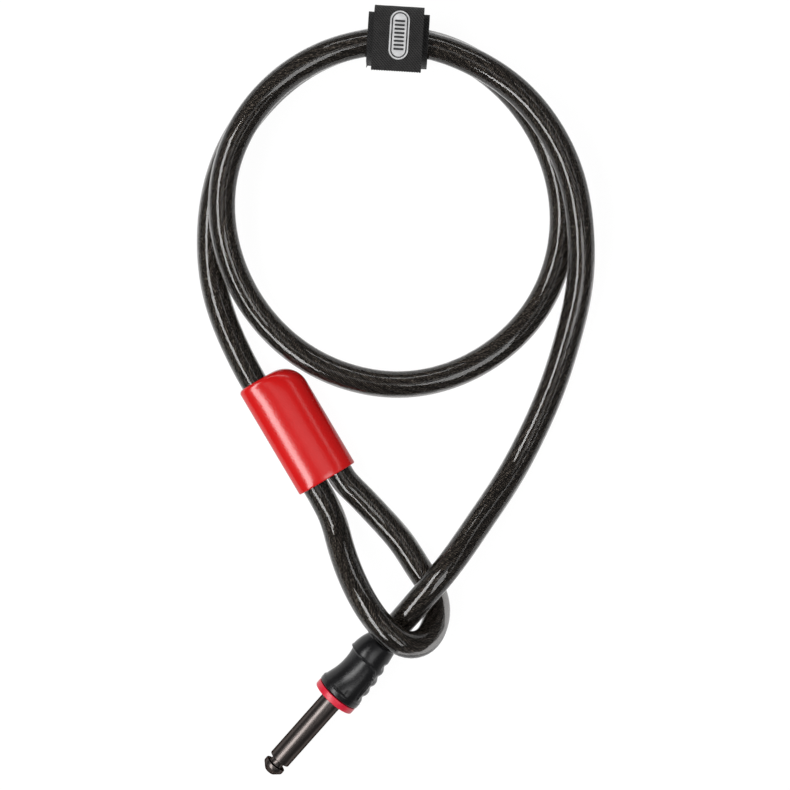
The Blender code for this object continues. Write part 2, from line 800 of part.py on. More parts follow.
clear_scene()
PARTS = new_collection("loop_cable")
CUTTERS = new_collection("cutters")
CUTTERS.hide_render = True
build()
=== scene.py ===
"""Loop cable with a plug-in locking pin, coiled in its hook-and-loop strap.

Metres, +Z up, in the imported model's own frame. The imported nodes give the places, and
the pieces made here give the finished shapes and surfaces.
"""

import json
import math

import bmesh
import bpy
import numpy as np
from mathutils import Matrix, Vector


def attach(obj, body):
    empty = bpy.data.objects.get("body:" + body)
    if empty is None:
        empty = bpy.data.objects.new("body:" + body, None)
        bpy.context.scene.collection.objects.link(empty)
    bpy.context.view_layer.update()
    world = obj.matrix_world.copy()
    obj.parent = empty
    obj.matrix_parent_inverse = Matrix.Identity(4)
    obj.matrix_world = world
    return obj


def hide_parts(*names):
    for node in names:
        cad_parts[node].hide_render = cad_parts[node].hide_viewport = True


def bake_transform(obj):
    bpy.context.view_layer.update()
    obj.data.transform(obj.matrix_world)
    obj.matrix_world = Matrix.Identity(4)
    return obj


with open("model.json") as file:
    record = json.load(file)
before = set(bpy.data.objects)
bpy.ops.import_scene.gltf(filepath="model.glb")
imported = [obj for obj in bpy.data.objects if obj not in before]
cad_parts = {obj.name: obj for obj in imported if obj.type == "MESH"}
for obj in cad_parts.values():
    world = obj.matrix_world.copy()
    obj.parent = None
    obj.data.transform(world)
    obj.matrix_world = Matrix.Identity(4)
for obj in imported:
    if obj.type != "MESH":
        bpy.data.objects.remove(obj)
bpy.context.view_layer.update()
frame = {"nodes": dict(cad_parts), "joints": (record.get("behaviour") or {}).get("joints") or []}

MM = 0.001
FULL_TURN = 2 * math.pi

# ---------------------------------------------------------------- camera, light and floor

CAMERA_PLACE = (0.0270, -0.0002, 0.986)

camera_data = bpy.data.cameras.new("overhead_camera")
camera_data.lens = 100
camera_data.sensor_width = 36
camera_data.clip_start = 0.05
camera_data.clip_end = 20
camera = bpy.data.objects.new("overhead_camera", camera_data)
camera.location = CAMERA_PLACE
bpy.context.scene.collection.objects.link(camera)
bpy.context.scene.camera = camera
bpy.context.scene.view_settings.view_transform = "Standard"


def softbox(name, place, aim, size, power):
    """A rectangular lamp in its place, turned to face its aim."""
    lamp = bpy.data.lights.new(name, "AREA")
    lamp.shape = "RECTANGLE"
    lamp.size, lamp.size_y = size
    lamp.energy = power
    made = bpy.data.objects.new(name, lamp)
    made.location = place
    ahead = (Vector(aim) - Vector(place)).normalized()
    side = ahead.cross(Vector((0, 0, 1))).normalized()
    made.rotation_euler = Matrix((side, side.cross(ahead), -ahead)).transposed().to_euler()
    bpy.context.scene.collection.objects.link(made)


MIDDLE = (0.025, 0.0, 0.01)
LEFT_AIM = (0.025, -0.28, 0.01)
softbox("left_softbox", (-0.66, -0.28, 1.06), LEFT_AIM, (1.60, 0.36), 17.5)
softbox("right_softbox", (0.62, 0.10, 0.95), MIDDLE, (1.20, 0.14), 0.8)
softbox("plug_softbox", (0.36, -0.46, 1.30), MIDDLE, (0.40, 0.75), 4.0)
softbox("top_softbox", (0.10, 0.02, 1.50), MIDDLE, (0.30, 0.60), 0.5)
softbox("back_softbox", (0.10, 1.20, 0.85), MIDDLE, (1.10, 0.20), 2.4)

world = bpy.data.worlds.new("studio")
world.use_nodes = True
world.node_tree.nodes["Background"].inputs["Color"].default_value = (1.0, 1.0, 1.0, 1)
world.node_tree.nodes["Background"].inputs["Strength"].default_value = 0.12
bpy.context.scene.world = world

# ---------------------------------------------------------------- material kit


def add(tree, kind, settings=None, feeds=None):
    """A node with its settings, and each feed as a value or as the socket it is linked to."""
    made = tree.nodes.new(kind)
    for key, value in (settings or {}).items():
        setattr(made, key, value)
    for key, value in (feeds or {}).items():
        if isinstance(value, bpy.types.NodeSocket):
            tree.links.new(value, made.inputs[key])
        else:
            made.inputs[key].default_value = value
    return made


def sums(tree, operation, *values):
    """The result of a maths node."""
    feeds = dict(enumerate(values))
    return add(tree, "ShaderNodeMath", {"operation": operation}, feeds).outputs[0]


def mixed(tree, share, first, second):
    """Two colours mixed by a share."""
    feeds = {0: share, 6: first, 7: second}
    return add(tree, "ShaderNodeMix", {"data_type": "RGBA"}, feeds).outputs[2]


def ranged(tree, value, low, high, to_low, to_high):
    """A value moved from one range into another, and held within it."""
    feeds = {0: value, 1: low, 2: high, 3: to_low, 4: to_high}
    return add(tree, "ShaderNodeMapRange", {"clamp": True}, feeds).outputs[0]


def rgb(red, green, blue):
    """An opaque colour."""
    return (red, green, blue, 1.0)


def effect(name, inputs, outputs):
    """A shared effect as a node group, with its own inlet and outlet nodes."""
    tree = bpy.data.node_groups.new(name, "ShaderNodeTree")
    for label, kind, value in inputs:
        socket = tree.interface.new_socket(label, in_out="INPUT", socket_type="NodeSocket" + kind)
        if value is not None:
            socket.default_value = value
    for label, kind in outputs:
        tree.interface.new_socket(label, in_out="OUTPUT", socket_type="NodeSocket" + kind)
    inlet = tree.nodes.new("NodeGroupInput")
    outlet = tree.nodes.new("NodeGroupOutput")
    return tree, inlet.outputs, outlet.inputs


def noise(tree, where, scale, detail=3.0, roughness=0.55):
    """A noise value at each place."""
    feeds = {"Vector": where, "Scale": scale, "Detail": detail, "Roughness": roughness}
    return add(tree, "ShaderNodeTexNoise", None, feeds).outputs[0]


def handled_surface():
    """Slight cloudiness of colour and polish, with a fine grain, for any moulded or metal piece."""
    tree, given, out = effect(
        "handled_surface",
        [
            ("Place", "Vector", None),
            ("Color", "Color", rgb(0.5, 0.5, 0.5)),
            ("Worn Color", "Color", rgb(0.6, 0.6, 0.6)),
            ("Cloud Scale", "Float", 60.0),
            ("Grain Scale", "Float", 3000.0),
            ("Roughness", "Float", 0.4),
            ("Roughness Spread", "Float", 0.1),
        ],
        [("Color", "Color"), ("Roughness", "Float"), ("Height", "Float")],
    )
    cloud = noise(tree, given["Place"], given["Cloud Scale"], 4.0)
    share = ranged(tree, cloud, 0.35, 0.70, 0.0, 1.0)
    grain = noise(tree, given["Place"], given["Grain Scale"], 2.0)
    spread = sums(tree, "MULTIPLY", sums(tree, "SUBTRACT", cloud, 0.5), given["Roughness Spread"])
    tree.links.new(mixed(tree, share, given["Color"], given["Worn Color"]), out["Color"])
    tree.links.new(sums(tree, "ADD", given["Roughness"], spread), out["Roughness"])
    tree.links.new(grain, out["Height"])
    return tree


def fine_scratches():
    """Long thin scratches that run along the second coordinate of the piece's own map."""
    tree, given, out = effect(
        "fine_scratches",
        [("Map", "Vector", None), ("Across", "Float", 400.0), ("Along", "Float", 6.0)],
        [("Mask", "Float")],
    )
    stretch = add(tree, "ShaderNodeCombineXYZ", None, {0: given["Across"], 1: given["Along"], 2: 1.0})
    product = {0: given["Map"], 1: stretch.outputs[0]}
    laid = add(tree, "ShaderNodeVectorMath", {"operation": "MULTIPLY"}, product)
    lines = noise(tree, laid.outputs[0], 1.0, 5.0, 0.7)
    tree.links.new(ranged(tree, lines, 0.42, 0.72, 0.0, 1.0), out["Mask"])
    return tree


def ridges(tree, value, sharpness):
    """Rounded ridges, one for each whole number of the value."""
    wave = sums(tree, "ABSOLUTE", sums(tree, "SINE", sums(tree, "MULTIPLY", value, math.pi)))
    return sums(tree, "POWER", wave, sharpness)


def twill_weave():
    """A diagonal weave on a map in metres, as thread height and a mask of the thread tops."""
    tree, given, out = effect(
        "twill_weave",
        [("Map", "Vector", None), ("Rib", "Float", 0.0013), ("Thread", "Float", 0.00055)],
        [("Height", "Float"), ("Top", "Float"), ("Cloud", "Float")],
    )
    apart = add(tree, "ShaderNodeSeparateXYZ", None, {0: given["Map"]})
    across, along = apart.outputs[0], apart.outputs[1]
    wander = sums(tree, "MULTIPLY", noise(tree, given["Map"], 700.0, 2.0), 0.0005)
    slant = sums(tree, "ADD", sums(tree, "SUBTRACT", across, along), wander)
    rib = ridges(tree, sums(tree, "DIVIDE", slant, given["Rib"]), 0.8)
    cross = sums(tree, "SUBTRACT", sums(tree, "MULTIPLY", across, 0.35), along)
    thread = ridges(tree, sums(tree, "DIVIDE", cross, given["Thread"]), 0.7)
    height = sums(tree, "MULTIPLY_ADD", thread, 0.5, sums(tree, "MULTIPLY", rib, 0.5))
    tree.links.new(height, out["Height"])
    tree.links.new(ranged(tree, height, 0.55, 0.97, 0.0, 1.0), out["Top"])
    tree.links.new(noise(tree, given["Map"], 220.0, 3.0), out["Cloud"])
    return tree


HANDLED = handled_surface()
SCRATCHES = fine_scratches()
TWILL = twill_weave()


def started(name, values):
    """A material with its one shader, whose plain values are set on its own sockets."""
    made = bpy.data.materials.new(name)
    made.use_nodes = True
    tree = made.node_tree
    shader = tree.nodes["Principled BSDF"]
    for key, value in values.items():
        shader.inputs[key].default_value = value
    return made, tree, shader


def place_on(tree, kind):
    """A texture coordinate of one kind."""
    return add(tree, "ShaderNodeTexCoord").outputs[kind]


def grouped(tree, group, feeds):
    """The outputs of a shared effect with its feeds."""
    return add(tree, "ShaderNodeGroup", {"node_tree": group}, feeds).outputs


def raised(tree, shader, height, distance, strength=1.0):
    """A height as a bump on the shader."""
    feeds = {"Height": height, "Distance": distance, "Strength": strength}
    bump = add(tree, "ShaderNodeBump", None, feeds)
    tree.links.new(bump.outputs[0], shader.inputs["Normal"])


def moulded(name, color, worn, roughness, values=None, cloud=60.0, grain=3000.0, depth=0.00002,
            spread=0.12):
    """A moulded or metal finish from the shared surface effect, on Object coordinates."""
    made, tree, shader = started(name, values or {})
    surface = grouped(
        tree,
        HANDLED,
        {
            "Place": place_on(tree, "Object"),
            "Color": rgb(*color),
            "Worn Color": rgb(*worn),
            "Cloud Scale": cloud,
            "Grain Scale": grain,
            "Roughness": roughness,
            "Roughness Spread": spread,
        },
    )
    tree.links.new(surface["Color"], shader.inputs["Base Color"])
    tree.links.new(surface["Roughness"], shader.inputs["Roughness"])
    raised(tree, shader, surface["Height"], depth)
    return made


def clear_jacket():
    """Smoke-tinted clear vinyl, which lets lamps reach the rope inside it."""
    made, tree, shader = started(
        "clear_jacket",
        {
            "Base Color": rgb(0.24, 0.233, 0.229),
            "Transmission Weight": 1.0,
            "IOR": 1.5,
            "Roughness": 0.03,
        },
    )
    laid = place_on(tree, "UV")
    waves = noise(tree, laid, 90.0, 2.0)
    raised(tree, shader, waves, 0.00006, 0.4)
    ray = add(tree, "ShaderNodeLightPath").outputs["Is Shadow Ray"]
    open_to_lamps = add(tree, "ShaderNodeBsdfTransparent", None, {0: rgb(0.62, 0.60, 0.585)})
    either = {0: ray, 1: shader.outputs[0], 2: open_to_lamps.outputs[0]}
    both = add(tree, "ShaderNodeMixShader", None, either)
    tree.links.new(both.outputs[0], tree.nodes["Material Output"].inputs["Surface"])
    return made


def rope_wires():
    """Oiled steel wires, laid round each strand, on a map of turns around by metres along, their crowns
    painted lighter as painted glints.
    """
    made, tree, shader = started("rope_wires", {"Metallic": 0.85, "IOR": 1.5})
    apart = add(tree, "ShaderNodeSeparateXYZ", None, {0: place_on(tree, "UV")})
    around, along = apart.outputs[0], apart.outputs[1]
    in_strand = sums(tree, "FRACT", sums(tree, "MULTIPLY", around, STRANDS))
    slant = sums(tree, "MULTIPLY_ADD", in_strand, 4.0, sums(tree, "MULTIPLY", along, 330.0))
    wires = ridges(tree, slant, 0.7)
    valley = ridges(tree, in_strand, 0.35)
    height = sums(tree, "MULTIPLY_ADD", wires, 0.65, sums(tree, "MULTIPLY", valley, 0.35))
    laid = add(tree, "ShaderNodeCombineXYZ", None,
               {0: sums(tree, "MULTIPLY", around, 70.0), 1: sums(tree, "MULTIPLY", along, 800.0)})
    glint_and_polish_patches = noise(tree, laid.outputs[0], 1.0, 3.0)
    # Painted glints: the wire crowns, where the height is greatest, are painted a lighter steel in
    # patches, and the rest stays dark. The same patches also vary the roughness.
    glint_crowns = sums(tree, "MULTIPLY", ranged(tree, height, 0.6, 0.98, 0.0, 1.0),
                ranged(tree, glint_and_polish_patches, 0.45, 0.70, 0.12, 1.0))
    dark, glint_steel = rgb(0.011, 0.009, 0.0075), rgb(0.42, 0.36, 0.30)
    tree.links.new(mixed(tree, glint_crowns, dark, glint_steel), shader.inputs["Base Color"])
    tree.links.new(ranged(tree, glint_and_polish_patches, 0.3, 0.7, 0.52, 0.28), shader.inputs["Roughness"])
    raised(tree, shader, height, 0.00035, 0.9)
    return made


def nylon(name, dark, light):
    """Black nylon webbing: a diagonal weave whose thread tops are painted lighter as a painted sheen,
    under a random tone.
    """
    values = {"Sheen Weight": 0.08, "Sheen Roughness": 0.5, "Specular IOR Level": 0.25}
    made, tree, shader = started(name, values)
    weave = grouped(tree, TWILL, {"Map": place_on(tree, "UV")})
    # Painted sheen: the thread tops are painted towards the lighter colour, varied by a random tone.
    painted_sheen_and_tone = sums(tree, "MULTIPLY", weave["Top"], ranged(tree, weave["Cloud"], 0.3, 0.7, 0.55, 1.0))
    tree.links.new(mixed(tree, painted_sheen_and_tone, rgb(*dark), rgb(*light)), shader.inputs["Base Color"])
    polish = ranged(tree, weave["Top"], 0.0, 1.0, THREAD_ROUGHNESS + 0.2, THREAD_ROUGHNESS)
    tree.links.new(polish, shader.inputs["Roughness"])
    raised(tree, shader, weave["Height"], 0.00045, 1.0)
    return made


def polished_pin():
    """Black nickel on turned steel: fine turning marks round it, and faint wear along it."""
    values = {"Metallic": 1.0, "Specular Tint": rgb(0.14, 0.12, 0.11)}
    made, tree, shader = started("polished_pin", values)
    laid = place_on(tree, "UV")
    lengthwise = grouped(tree, SCRATCHES, {"Map": laid, "Across": 90.0, "Along": 70.0})["Mask"]
    rings = grouped(tree, SCRATCHES, {"Map": laid, "Across": 1.5, "Along": 5200.0})["Mask"]
    dark, worn = rgb(0.085, 0.073, 0.069), rgb(0.150, 0.134, 0.127)
    wear = sums(tree, "MULTIPLY", lengthwise, 0.55)
    tree.links.new(mixed(tree, wear, dark, worn), shader.inputs["Base Color"])
    tree.links.new(ranged(tree, rings, 0.0, 1.0, 0.29, 0.34), shader.inputs["Roughness"])
    raised(tree, shader, rings, 0.000003, 0.5)
    return made


STRANDS = 8
THREAD_ROUGHNESS = 0.62
CLEAR_JACKET = clear_jacket()
ROPE_WIRES = rope_wires()
PIN_FINISH = polished_pin()
# The second colour of each webbing is the painted sheen on its thread tops.
WEBBING = nylon("nylon_webbing", (0.004, 0.004, 0.0045), (0.060, 0.058, 0.057))
BAND_WEBBING = nylon("band_webbing", (0.004, 0.004, 0.0045), (0.048, 0.047, 0.047))
RED_VINYL = moulded("red_vinyl", (0.54, 0.004, 0.004), (0.57, 0.005, 0.005), 0.20,
                    {"Specular IOR Level": 0.6}, 45.0, 900.0, 0.00003)
RING_RED = moulded("ring_red", (0.56, 0.008, 0.030), (0.62, 0.014, 0.040), 0.34, None, 120.0, 4000.0)
GRIP = moulded("grip_plastic", (0.006, 0.006, 0.0065), (0.009, 0.009, 0.010), 0.25,
               {"Specular IOR Level": 0.34}, 80.0, 5200.0, 0.000025, 0.16)
FERRULE = moulded("pressed_aluminium", (0.62, 0.61, 0.59), (0.78, 0.77, 0.74), 0.34,
                  {"Metallic": 1.0}, 180.0, 2600.0, 0.00004)
CRIMPED = moulded("crimped_jacket", (0.035, 0.032, 0.030), (0.06, 0.055, 0.05), 0.38, None, 200.0)
SOCKET_STEEL = moulded("socket_steel", (0.50, 0.50, 0.51), (0.60, 0.60, 0.60), 0.36, {"Metallic": 1.0})
SPRING_STEEL = moulded("spring_steel", (0.30, 0.30, 0.31), (0.38, 0.37, 0.36), 0.30, {"Metallic": 1.0})
BRONZE = moulded("bronze", (0.52, 0.34, 0.16), (0.60, 0.42, 0.22), 0.38, {"Metallic": 1.0})
HOOK_NYLON = moulded("hook_nylon", (0.006, 0.006, 0.0065), (0.011, 0.011, 0.012), 0.70,
                     {"Specular IOR Level": 0.2}, 900.0, 2600.0, 0.00012)
BADGE_SILVER = moulded("badge_silver", (0.70, 0.70, 0.71), (0.84, 0.84, 0.85), 0.42,
                       {"Metallic": 0.75}, 300.0, 6000.0, 0.00001)
# Dark badge colour: the bars' own dark, and painted shade in the badge's groove.
BADGE_DARK_AND_GROOVE_SHADE = moulded("badge_dark_and_groove_shade", (0.012, 0.012, 0.013), (0.020, 0.020, 0.021), 0.40)

floor_paint = started(
    "studio_floor",
    {
        "Base Color": rgb(0.06, 0.06, 0.06),
        "Roughness": 0.9,
        "Specular IOR Level": 0.1,
        "Emission Color": rgb(1, 1, 1),
        "Emission Strength": 0.96,
    },
)[0]
floor_mesh = bpy.data.meshes.new("studio_floor")
floor_shape = bmesh.new()
bmesh.ops.create_grid(floor_shape, x_segments=1, y_segments=1, size=3.0)
floor_shape.to_mesh(floor_mesh)
floor_shape.free()
floor_mesh.materials.append(floor_paint)
floor = bpy.data.objects.new("studio_floor", floor_mesh)
floor.location = (0, 0, -0.0001)
bpy.context.scene.collection.objects.link(floor)

# ---------------------------------------------------------------- shape kit


def shown(name, mesh, paints, body=None, stands_for=(), crease=35):
    """A finished mesh as an object on its body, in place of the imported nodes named."""
    for paint in paints:
        mesh.materials.append(paint)
    mesh.shade_smooth()
    mesh.set_sharp_from_angle(angle=math.radians(crease))
    made = bpy.data.objects.new(name, mesh)
    bpy.context.scene.collection.objects.link(made)
    if body:
        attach(made, body)
    if stands_for:
        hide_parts(*stands_for)
    return made


def settled(name, shape, place):
    """The bmesh in its place, as a mesh."""
    bmesh.ops.transform(shape, matrix=place, verts=shape.verts)
    mesh = bpy.data.meshes.new(name)
    shape.to_mesh(mesh)
    shape.free()
    return mesh


def softened(corners, steps):
    """An outline with each corner (x, y, reach) rounded over that reach."""
    outline = []
    for i, (x, y, reach) in enumerate(corners):
        corner = Vector((x, y))
        if not reach:
            outline.append((x, y))
            continue
        before = (Vector(corners[i - 1][:2]) - corner).normalized() * reach
        after = (Vector(corners[(i + 1) % len(corners)][:2]) - corner).normalized() * reach
        for step in range(steps + 1):
            t = step / steps
            point = corner + before * (1 - t) ** 2 + after * t**2
            outline.append(tuple(point))
    return outline


def spun(outline, steps, closed=True):
    """A solid of revolution about Z, from an outline of (radius, height) pairs."""
    shape = bmesh.new()
    verts = [shape.verts.new((radius, 0.0, height)) for radius, height in outline]
    ends = zip(verts, verts[1:] + verts[:1]) if closed else zip(verts, verts[1:])
    edges = [shape.edges.new(pair) for pair in ends]
    bmesh.ops.spin(
        shape,
        geom=verts + edges,
        cent=(0, 0, 0),
        axis=(0, 0, 1),
        angle=FULL_TURN,
        steps=steps,
        use_merge=True,
    )
    bmesh.ops.remove_doubles(shape, verts=shape.verts, dist=0.000001)
    bmesh.ops.recalc_face_normals(shape, faces=shape.faces)
    return shape


def map_round(shape):
    """The piece's own map: turns round Z, and metres along it."""
    sheet_map = shape.loops.layers.uv.new("UVMap")
    for face in shape.faces:
        middle = face.calc_center_median()
        facing = math.atan2(middle.y, middle.x)
        for loop in face.loops:
            spot = loop.vert.co
            lean = math.atan2(spot.y, spot.x) - facing if spot.xy.length > 0.000001 else 0.0
            lean = (lean + math.pi) % FULL_TURN - math.pi
            loop[sheet_map].uv = ((facing + lean) / FULL_TURN, spot.z)


def smooth_curve(route, spacing):
    """Points about `spacing` apart on the natural cubic through the route's points."""
    route = np.array(route, float)
    chords = np.linalg.norm(np.diff(route, axis=0), axis=1)
    stations = np.concatenate([[0.0], np.cumsum(chords)])
    count, width = route.shape
    system = np.eye(count)
    pull = np.zeros((count, width))
    for i in range(1, count - 1):
        before, after = chords[i - 1], chords[i]
        system[i, i - 1 : i + 2] = before, 2 * (before + after), after
        slopes = (route[i + 1] - route[i]) / after - (route[i] - route[i - 1]) / before
        pull[i] = 6 * slopes
    bend = np.linalg.solve(system, pull)
    at = np.linspace(0, stations[-1], 40 * count)
    i = np.clip(np.searchsorted(stations, at, side="right") - 1, 0, count - 2)
    h = chords[i][:, None]
    a = (stations[i + 1] - at)[:, None] / h
    b = 1 - a
    bent = ((a**3 - a) * bend[i] + (b**3 - b) * bend[i + 1]) * h * h / 6
    fine = a * route[i] + b * route[i + 1] + bent
    walked = np.concatenate([[0.0], np.cumsum(np.linalg.norm(np.diff(fine, axis=0), axis=1))])
    even = np.linspace(0, walked[-1], max(2, round(walked[-1] / spacing)) + 1)
    return np.column_stack([np.interp(even, walked, fine[:, k]) for k in range(width)])


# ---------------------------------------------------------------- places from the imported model

joints = {joint["name"]: joint for joint in frame["joints"]}


def joint_frame(joint, across, along):
    """A frame at a joint, from two of its axes."""
    third = across.cross(along)
    turn = Matrix((across, along, third)).transposed().to_4x4()
    return Matrix.Translation(joint["pos_m"]) @ turn


pin_axis = Vector(joints["pin_swivel"]["axis"]).normalized()
plug_side = pin_axis.cross(Vector((0, 0, -1))).normalized()
PLUG = joint_frame(joints["pin_swivel"], plug_side.cross(pin_axis), plug_side)
strap_across = -Vector(joints["flap_peel"]["axis"]).normalized()
strap_out = Vector((0, 0, 1)).cross(strap_across)
FOLD = joint_frame(joints["flap_peel"], strap_across, strap_out)
SLEEVE = Matrix.Translation((-0.0032, -0.0375, 0.0)) @ Matrix.Rotation(math.radians(30.6), 4, "Z")

# ---------------------------------------------------------------- the jacketed rope

CABLE_DIAMETER = 0.012
LEG = 0.0123 / 2
SLEEVE_AXIS_Z = 0.0081
FERRULE_TOP = 0.0493
THROAT = 0.0002
STRAIGHT_END = 0.0035
JACKET_END = 0.02225
BOOT_TOP = 0.03185

RUN_ROUTE = [
    (-0.0440, 0.0210, 0.0075),
    (-0.0530, 0.0455, 0.0065),
    (-0.0555, 0.0685, 0.0060),
    (-0.0530, 0.0915, 0.0060),
    (-0.0450, 0.1130, 0.0060),
    (-0.0315, 0.1315, 0.0060),
    (-0.0135, 0.1465, 0.0062),
    (0.0075, 0.1555, 0.0070),
    (0.0305, 0.1580, 0.0075),
    (0.0530, 0.1530, 0.0070),
    (0.0725, 0.1410, 0.0061),
    (0.0880, 0.1235, 0.0060),
    (0.0980, 0.1030, 0.0060),
    (0.1020, 0.0800, 0.0060),
    (0.0990, 0.0575, 0.0060),
    (0.0890, 0.0365, 0.0060),
    (0.0730, 0.0200, 0.0060),
    (0.0530, 0.0090, 0.0060),
    (0.0300, 0.0045, 0.0060),
    (0.0075, 0.0075, 0.0060),
    (-0.0135, 0.0170, 0.0061),
    (-0.0310, 0.0325, 0.0072),
    (-0.0430, 0.0520, 0.0125),
    (-0.0490, 0.0745, 0.0170),
    (-0.0480, 0.0975, 0.0186),
    (-0.0395, 0.1190, 0.0190),
    (-0.0250, 0.1365, 0.0191),
    (-0.0055, 0.1490, 0.0195),
    (0.0170, 0.1550, 0.0200),
    (0.0400, 0.1540, 0.0200),
    (0.0615, 0.1465, 0.0195),
    (0.0810, 0.1335, 0.0190),
    (0.0955, 0.1160, 0.0186),
    (0.1050, 0.0950, 0.0179),
    (0.1090, 0.0720, 0.0162),
    (0.1090, 0.0490, 0.0110),
    (0.1045, 0.0265, 0.0070),
    (0.0975, 0.0040, 0.0060),
    (0.0885, -0.0170, 0.0060),
    (0.0775, -0.0375, 0.0070),
    (0.0645, -0.0565, 0.0126),
    (0.0510, -0.0750, 0.0190),
    (0.0360, -0.0930, 0.0178),
]
EYE_ROUTE = [
    (-0.0050, -0.0466, 0.0083),
    (-0.0008, -0.0550, 0.0098),
    (0.0026, -0.0660, 0.0135),
    (0.0076, -0.0795, 0.0200),
    (0.0143, -0.0920, 0.0260),
    (0.0230, -0.1030, 0.0286),
    (0.0315, -0.1090, 0.0270),
    (0.0395, -0.1085, 0.0210),
    (0.0445, -0.1020, 0.0135),
    (0.0455, -0.0940, 0.0076),
    (0.0430, -0.0860, 0.0060),
    (0.0385, -0.0790, 0.0060),
    (0.0304, -0.0666, 0.0060),
    (0.0200, -0.0545, 0.0063),
    (0.0096, -0.0436, 0.0076),
]


def in_frame(place, *spots):
    """Points given in a fitting's own frame, in the model's frame."""
    return [tuple(place @ Vector(spot)) for spot in spots]


run_route = (
    in_frame(
        SLEEVE,
        (-LEG, FERRULE_TOP, SLEEVE_AXIS_Z),
        (-LEG, FERRULE_TOP + 2 * STRAIGHT_END, SLEEVE_AXIS_Z),
    )
    + RUN_ROUTE
    + in_frame(PLUG, (0, 0, BOOT_TOP + STRAIGHT_END), (0, 0, JACKET_END))
)
eye_route = (
    in_frame(SLEEVE, (-LEG, THROAT, SLEEVE_AXIS_Z), (-LEG, THROAT - STRAIGHT_END, SLEEVE_AXIS_Z))
    + EYE_ROUTE
    + in_frame(SLEEVE, (LEG, THROAT - STRAIGHT_END, SLEEVE_AXIS_Z), (LEG, THROAT, SLEEVE_AXIS_Z))
)


def section_curve(name, outline):
    """The outline as a closed flat curve, to be drawn along another."""
    curve = bpy.data.curves.new(name, "CURVE")
    curve.dimensions = "2D"
    spline = curve.splines.new("POLY")
    spline.points.add(len(outline) - 1)
    for point, (x, y) in zip(spline.points, outline):
        point.co = (x, y, 0.0, 1.0)
    spline.use_cyclic_u = True
    made = bpy.data.objects.new(name, curve)
    bpy.context.scene.collection.objects.link(made)
    return made


def swept(name, points, outline, lay=None):
    """A closed mesh of the outline drawn along the points, turning once in each lay length.

    Its map is turns round the outline by metres along the line.
    """
    section = section_curve(name + "_section", outline)
    curve = bpy.data.curves.new(name, "CURVE")
    curve.dimensions = "3D"
    curve.bevel_mode = "OBJECT"
    curve.bevel_object = section
    spline = curve.splines.new("POLY")
    spline.points.add(len(points) - 1)
    stations = np.concatenate([[0.0], np.cumsum(np.linalg.norm(np.diff(points, axis=0), axis=1))])
    for point, spot, station in zip(spline.points, points, stations):
        point.co = (*spot, 1.0)
        point.tilt = FULL_TURN * station / lay if lay else 0.0
    line = bpy.data.objects.new(name + "_line", curve)
    bpy.context.scene.collection.objects.link(line)
    graph = bpy.context.evaluated_depsgraph_get()
    mesh = bpy.data.meshes.new_from_object(line.evaluated_get(graph))
    bpy.data.objects.remove(line, do_unlink=True)
    bpy.data.objects.remove(section, do_unlink=True)
    shape = bmesh.new()
    shape.from_mesh(mesh)
    shape.verts.ensure_lookup_table()
    sides = len(outline)
    laid = shape.loops.layers.uv.verify()
    for face in shape.faces:
        turns = [loop.vert.index % sides for loop in face.loops]
        wraps = max(turns) - min(turns) > 1
        for loop, turn in zip(face.loops, turns):
            share = (sides if wraps and turn == 0 else turn) / sides
            loop[laid].uv = (share, stations[loop.vert.index // sides])
    bmesh.ops.holes_fill(shape, edges=[edge for edge in shape.edges if edge.is_boundary], sides=0)
    bmesh.ops.recalc_face_normals(shape, faces=shape.faces)
    shape.to_mesh(mesh)
    shape.free()
    mesh.name = name
    mesh.materials.clear()
    return mesh


def round_outline(radius, sides, lobes=0, lobe_depth=0.0):
    """A circle, with a groove of the given depth between each two of its lobes."""
    outline = []
    for i in range(sides):
        angle = FULL_TURN * i / sides
        lobe = abs(math.sin(angle * lobes / 2)) if lobes else 1.0
        r = radius - lobe_depth * (1 - lobe)
        outline.append((r * math.cos(angle), r * math.sin(angle)))
    return outline


def drawn_inwards(points, most, full_bend):
    """The rope's own line, which moves to the inside of a tight bend within the jacket."""
    ahead = np.gradient(points, axis=0)
    step = np.linalg.norm(ahead, axis=1, keepdims=True)
    ahead = ahead / step
    bend = np.gradient(ahead, axis=0) / step
    reach = 9
    padded = np.vstack([np.zeros((reach, 3)), bend, np.zeros((reach, 3))])
    kernel = np.hanning(2 * reach + 1)
    kernel /= kernel.sum()
    soft = np.column_stack([np.convolve(padded[:, k], kernel, "valid") for k in range(3)])
    size = np.linalg.norm(soft, axis=1, keepdims=True)
    share = np.clip(size / full_bend, 0, 1) ** 1.5
    return points + soft / np.maximum(size, 1e-9) * share * most


JACKET_SIDES = 40
JACKET_SPACING = 0.002
ROPE_SIDES = 56
ROPE_SPACING = 0.0012
ROPE_RADIUS = 0.0037
ROPE_LAY = 0.070
ROPE_PLAY = 0.0019
FULL_BEND = 55.0
STRAND_DEPTH = 0.00032
END_SHARE = 0.1


def jacketed_rope(name, route, stands_for):
    """A clear jacket on its route, and the stranded rope inside it."""
    line = smooth_curve(route, JACKET_SPACING)
    mesh = swept(name, line, round_outline(CABLE_DIAMETER / 2, JACKET_SIDES))
    jacket = shown(name, mesh, [CLEAR_JACKET], "cable", [stands_for], 60)
    inner = drawn_inwards(smooth_curve(route, ROPE_SPACING), ROPE_PLAY, FULL_BEND)
    inner[0] += (inner[1] - inner[0]) * END_SHARE
    inner[-1] += (inner[-2] - inner[-1]) * END_SHARE
    strands = round_outline(ROPE_RADIUS, ROPE_SIDES, STRANDS, STRAND_DEPTH)
    rope_name = name + "_rope"
    mesh = swept(rope_name, inner, strands, ROPE_LAY)
    rope = shown(rope_name, mesh, [ROPE_WIRES], "cable", (), 80)


